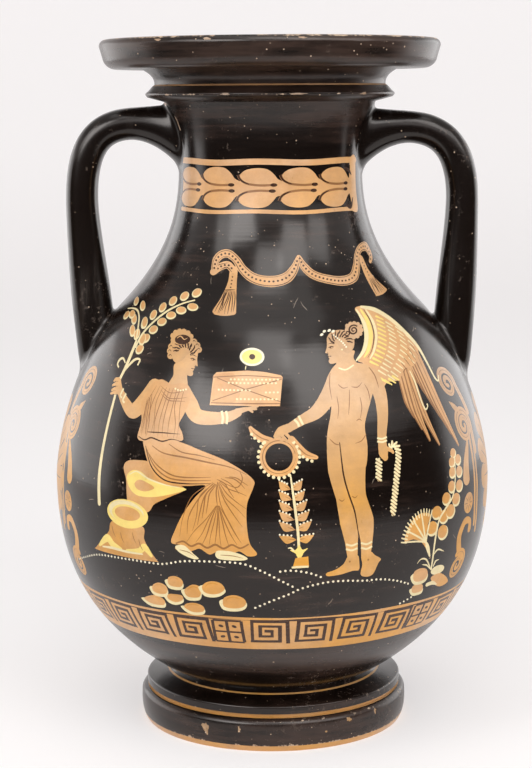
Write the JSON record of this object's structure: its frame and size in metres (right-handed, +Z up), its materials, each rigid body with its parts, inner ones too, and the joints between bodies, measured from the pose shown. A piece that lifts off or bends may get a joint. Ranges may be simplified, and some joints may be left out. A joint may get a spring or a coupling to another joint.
{
  "type": "pelike",
  "caption": "Black gloss clay vase with handles at its neck, a bag-shaped body, stepped foot and overhanging lip, painted in clay red with figures, laurel and key bands.",
  "frame": {"origin": "centre of the foot's underside, on the surface that the vase stands on", "axes": "+Z up along the axis of the vase, the figured front faces -Y, the handles stand along X"},
  "size_m": [0.2296, 0.2296, 0.36],
  "materials": {
    "black_gloss_clay": "glossy black slip over orange-buff fired clay"
  },
  "bodies": {
    "root": {"pelike": "black_gloss_clay"}
  },
  "joints": []
}
